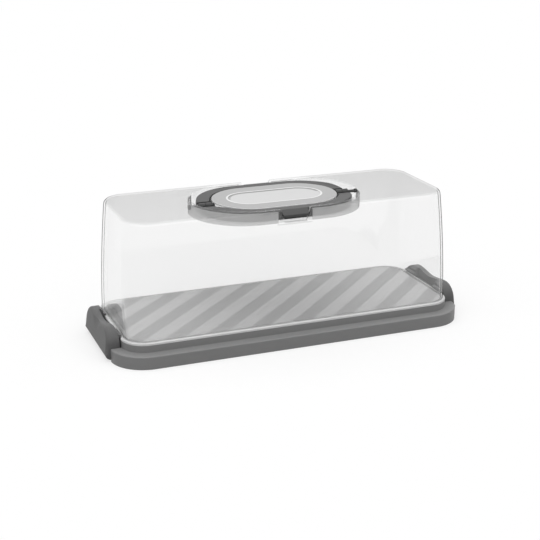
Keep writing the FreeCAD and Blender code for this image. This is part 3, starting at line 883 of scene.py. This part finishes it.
def makeClearPlastic():
    look = coverLook
    material, nodes, links = newMaterial("clearPlastic")
    x, y, z = objectXYZ(nodes, links)
    facing = addNode(nodes, "ShaderNodeTexCoord")
    normal = addNode(nodes, "ShaderNodeSeparateXYZ")
    links.new(facing.outputs["Normal"], normal.inputs[0])
    level = mathNode(nodes, links, "ABSOLUTE", normal.outputs[2])
    level = softStep(nodes, links, level, look["levelStart"], look["levelEnd"])
    sheet = addNode(nodes, "ShaderNodeBsdfTransparent", {"Color": grey(look["clear"])})
    gloss = addNode(nodes, "ShaderNodeBsdfGlossy", {"Roughness": look["roughness"]})
    # Painted reflection: paler gloss on upright walls, dimmer on level faces
    paintedReflectionGrey = blendGrey(nodes, links, level, look["paintedFloorGloss"], look["paintedCeilingGloss"])
    links.new(paintedReflectionGrey, gloss.inputs["Color"])
    slant = addNode(nodes, "ShaderNodeLayerWeight", {"Blend": 0.5})
    steep = mathNode(nodes, links, "POWER", slant.outputs["Facing"], look["steepness"])
    share = mathNode(nodes, links, "MULTIPLY_ADD", steep, 1 - look["headOn"], look["headOn"])
    pane = addNode(nodes, "ShaderNodeMixShader")
    links.new(share, pane.inputs["Fac"])
    links.new(sheet.outputs[0], pane.inputs[1])
    links.new(gloss.outputs[0], pane.inputs[2])

    # Painted shade: a dark diffuse line where the rounded corners turn away, standing in for refraction
    paintedOutline = softStep(nodes, links, slant.outputs["Facing"], look["paintedOutlineStart"], look["paintedOutlineEnd"])
    turned = mathNode(nodes, links, "MULTIPLY", normal.outputs[0], normal.outputs[1])
    turned = mathNode(nodes, links, "ABSOLUTE", turned)
    corner = softStep(nodes, links, turned, look["cornerStart"], look["cornerEnd"])
    paintedOutline = mathNode(nodes, links, "MULTIPLY", paintedOutline, corner)
    paintedOutline = mathNode(nodes, links, "MULTIPLY", paintedOutline, look["paintedOutlineShare"])
    paintedDarkLine = addNode(nodes, "ShaderNodeBsdfDiffuse", {"Color": grey(look["paintedEdgeGrey"])})
    withPaintedOutline = addNode(nodes, "ShaderNodeMixShader")
    links.new(paintedOutline, withPaintedOutline.inputs["Fac"])
    links.new(pane.outputs[0], withPaintedOutline.inputs[1])
    links.new(paintedDarkLine.outputs[0], withPaintedOutline.inputs[2])

    # Painted highlight: the flange turns pale diffuse grey
    flange = mathNode(nodes, links, "LESS_THAN", z, look["flangeZ"])
    paintedFlangeHighlight = mathNode(nodes, links, "MULTIPLY", flange, look["paintedFlangeShare"])
    radius = stadiumRadius(nodes, links, x, y, look["moatStraight"])
    wallStart = mathNode(nodes, links, "GREATER_THAN", radius, look["moatStart"])
    wallEnd = mathNode(nodes, links, "LESS_THAN", radius, look["moatEnd"])
    high = mathNode(nodes, links, "GREATER_THAN", z, look["moatZ"])
    belowRim = softStep(nodes, links, z, look["moatClear"], look["moatHazy"])
    side = addNode(nodes, "ShaderNodeNewGeometry")
    outside = mathNode(nodes, links, "SUBTRACT", 1.0, side.outputs["Backfacing"])
    moatWall = mathNode(nodes, links, "MULTIPLY", wallStart, wallEnd)
    for mask in (high, belowRim, outside, look["moatShare"]):
        moatWall = mathNode(nodes, links, "MULTIPLY", moatWall, mask)
    hazeWithFlangeHighlight = mathNode(nodes, links, "MAXIMUM", paintedFlangeHighlight, moatWall)
    # One pale diffuse for the moat wall's haze and the flange's painted highlight
    edge = addNode(nodes, "ShaderNodeBsdfDiffuse", {"Color": grey(look["hazeAndHighlightGrey"])})
    mix = addNode(nodes, "ShaderNodeMixShader")
    output = addNode(nodes, "ShaderNodeOutputMaterial")
    links.new(hazeWithFlangeHighlight, mix.inputs["Fac"])
    links.new(withPaintedOutline.outputs[0], mix.inputs[1])
    links.new(edge.outputs[0], mix.inputs[2])
    links.new(mix.outputs[0], output.inputs["Surface"])
    return material


clearPlastic = makeClearPlastic()

dressPiece(tray, "tray", "tray", trayPlastic)
dressPiece(cover, "cover", "cover", clearPlastic)
dressPiece(handleFront, "handle_front", "handle_front", handlePlastic)
dressPiece(handleRear, "handle_rear", "handle_rear", handlePlastic)
dressPiece(topPlate, "cover", "top_plate", platePlastic)
dressPiece(latchRight, "latch_right", "latch_right", latchPlastic)
dressPiece(latchLeft, "latch_left", "latch_left", latchPlastic)
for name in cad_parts:
    node = bpy.data.objects[name]
    node.data.materials.clear()
    node.data.materials.append({"handle": handlePlastic, "latch": latchPlastic, "tray": trayPlastic,
                                "cover": clearPlastic, "top": platePlastic}[name.split("_")[0]])
print("materials set")

# Stage: white floor that keeps a soft shadow, pale studio world, one broad soft key from above
stageLook = {"floorSize": 6.0, "floorGrey": 0.35, "floorGlow": 0.65, "worldLight": 0.24, "keyStrength": 2.45,
             "keyAngle": 110.0, "keyFrom": (-0.1, -0.2, 1.0), "floorDrop": 0.0002}


def seenByEye(nodes, links):
    # 1 for rays that show the background: straight, mirrored or through clear plastic
    path = addNode(nodes, "ShaderNodeLightPath")
    shown = mathNode(nodes, links, "MAXIMUM", path.outputs["Is Camera Ray"], path.outputs["Is Glossy Ray"])
    return mathNode(nodes, links, "MAXIMUM", shown, path.outputs["Is Transmission Ray"])


def makeFloor():
    deselectAll()
    height = cadBox[0][2] - stageLook["floorDrop"]
    bpy.ops.mesh.primitive_plane_add(size=stageLook["floorSize"], location=(0, 0, height))
    floor = bpy.context.object
    floor.name = "floor"
    material, nodes, links = newMaterial("floorWhite")
    paint = addNode(nodes, "ShaderNodeBsdfDiffuse", {"Color": grey(stageLook["floorGrey"])})
    glow = addNode(nodes, "ShaderNodeEmission", {"Color": grey(1.0)})
    total = addNode(nodes, "ShaderNodeAddShader")
    output = addNode(nodes, "ShaderNodeOutputMaterial")
    strength = mathNode(nodes, links, "MULTIPLY", seenByEye(nodes, links), stageLook["floorGlow"])
    links.new(strength, glow.inputs["Strength"])
    links.new(paint.outputs[0], total.inputs[0])
    links.new(glow.outputs[0], total.inputs[1])
    links.new(total.outputs[0], output.inputs["Surface"])
    floor.data.materials.append(material)


def makeWorld():
    world = bpy.data.worlds.new("studio")
    bpy.context.scene.world = world
    world.use_nodes = True
    nodes, links = world.node_tree.nodes, world.node_tree.links
    nodes.clear()
    level = addNode(nodes, "ShaderNodeMapRange", {"To Min": stageLook["worldLight"], "To Max": 1.0})
    air = addNode(nodes, "ShaderNodeBackground", {"Color": grey(1.0)})
    output = addNode(nodes, "ShaderNodeOutputWorld")
    links.new(seenByEye(nodes, links), level.inputs["Value"])
    links.new(level.outputs[0], air.inputs["Strength"])
    links.new(air.outputs[0], output.inputs["Surface"])


def makeKeyLamp():
    lamp = bpy.data.lights.new("keyLamp", "SUN")
    lamp.energy = stageLook["keyStrength"]
    lamp.angle = math.radians(stageLook["keyAngle"])
    holder = bpy.data.objects.new("keyLamp", lamp)
    bpy.context.scene.collection.objects.link(holder)
    holder.rotation_euler = (-Vector(stageLook["keyFrom"])).to_track_quat("-Z", "Y").to_euler()


cameraPlace = {"from": (-0.4065, -1.0376, 0.4320), "to": (-0.0047, 0.0, 0.05538),
               "lens": 78.35, "sensor": 36.0}


def makeCamera():
    camera = bpy.data.cameras.new("camera")
    camera.lens = cameraPlace["lens"]
    camera.sensor_width = cameraPlace["sensor"]
    camera.clip_start = 0.01
    holder = bpy.data.objects.new("camera", camera)
    bpy.context.scene.collection.objects.link(holder)
    start, target = Vector(cameraPlace["from"]), Vector(cameraPlace["to"])
    holder.location = start
    holder.rotation_euler = (target - start).to_track_quat("-Z", "Y").to_euler()
    bpy.context.scene.camera = holder


makeFloor()
makeWorld()
makeKeyLamp()
makeCamera()
bpy.context.scene.view_settings.view_transform = "Standard"
print("stage, lamp and camera set")
